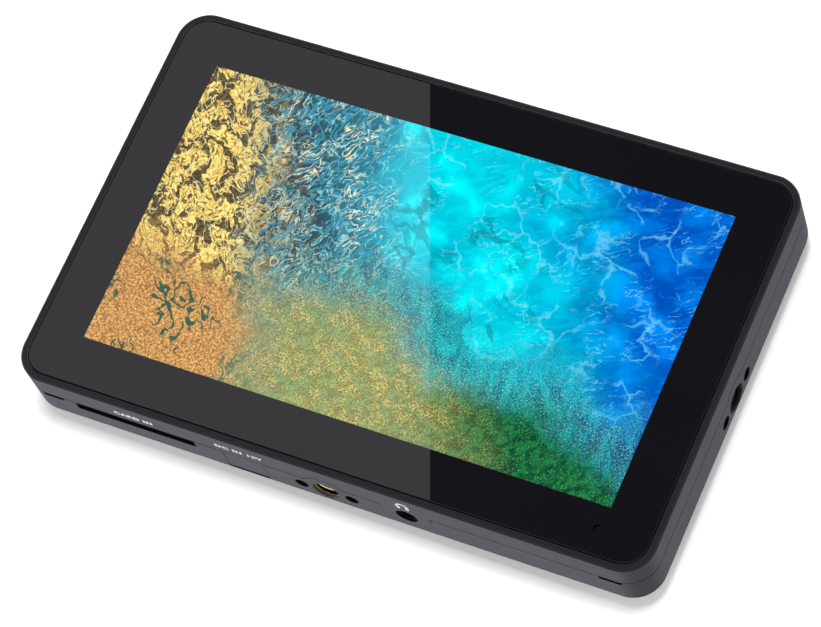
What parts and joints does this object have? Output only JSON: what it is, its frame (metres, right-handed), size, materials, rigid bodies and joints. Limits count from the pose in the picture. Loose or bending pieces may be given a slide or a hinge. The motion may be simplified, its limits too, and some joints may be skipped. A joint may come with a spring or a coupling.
{
  "type": "camera field monitor",
  "caption": "Flat camera-top video monitor with a glass-fronted screen, a two-shell casing, side ports, a hinged power flap, tripod threads and a battery plate.",
  "frame": {"origin": "middle of the casing's outline, on the surface that the monitor's battery rails rest on as it lies on its back", "axes": "+Z out of the screen, +Y towards the monitor's top edge, +X towards its right side as seen from the front"},
  "size_m": [0.145, 0.0926, 0.02],
  "materials": {
    "casing": "fine matt grain, dark grey",
    "glass_face": "black glass with a clear window, polished",
    "black_plastic": "matt",
    "film": "clear film",
    "display": "smooth glass cell",
    "white_plastic": "matt",
    "clear_plastic": "clear, polished",
    "steel": "bright sheet steel",
    "aluminium": "satin",
    "board": "green solder mask",
    "chip": "matt black",
    "tin": "tinned",
    "pad": "soft, matt",
    "flex": "amber film",
    "button": "matt",
    "black_screw": "black oxide",
    "brass": "turned brass",
    "lead": "smooth insulation"
  },
  "bodies": {
    "casing": {"front_frame": "casing", "cover_glass": "glass_face", "glass_glue": "black_plastic", "touch_sensor": "film", "display_cell": "display", "diffuser_films": "white_plastic", "light_guide": "clear_plastic", "backlight_strip": "white_plastic", "display_tray": "steel", "display_tape": "black_plastic", "chassis_plate": "aluminium", "chassis_screws": "steel", "main_board": "board", "board_screws": "steel", "video_processor": "chip", "memory_chips": "chip", "power_coils": "chip", "filter_capacitors": "tin", "thermal_pad": "pad", "heat_spreader": "aluminium", "card_socket": "steel", "dc_jack": "black_plastic", "dc_jack_pin": "tin", "headphone_jack": "black_plastic", "video_in_socket": "tin", "video_out_socket": "tin", "video_tongues": "black_plastic", "flex_sockets": "white_plastic", "display_flex": "flex", "touch_flex": "flex", "indicator_led": "white_plastic", "light_pipe": "clear_plastic", "power_switch": "black_plastic", "rear_shell": "casing", "case_screws": "black_screw", "battery_plate": "black_plastic", "plate_screws": "black_screw", "battery_contacts": "brass", "contact_block": "black_plastic", "latch_cup": "black_plastic", "latch_spring": "steel", "battery_leads": "lead", "lead_socket": "white_plastic", "bottom_thread_insert": "brass", "side_thread_insert": "brass", "flap_pin": "steel"},
    "power_flap": {"dc_flap": "casing"},
    "button": {"power_button": "button", "switch_plunger": "white_plastic"},
    "latch": {"battery_latch": "button"}
  },
  "joints": [
    {"name": "power_flap_hinge", "type": "hinge", "parent": "casing", "child": "power_flap", "pos_m": [-0.0188, -0.04515, 0.0069], "axis": [1, 0, 0], "range_deg": [0, 90]},
    {"name": "power_button_press", "type": "slide", "parent": "casing", "child": "button", "axis": [0, -1, 0], "range_m": [0, 0.0005], "stiffness_N_per_m": 400, "springref_m": -0.001},
    {"name": "battery_latch_press", "type": "slide", "parent": "casing", "child": "latch", "axis": [0, 0, 1], "range_m": [0, 0.0015], "stiffness_N_per_m": 400, "springref_m": -0.001, "deforming": ["latch_spring"]}
  ]
}
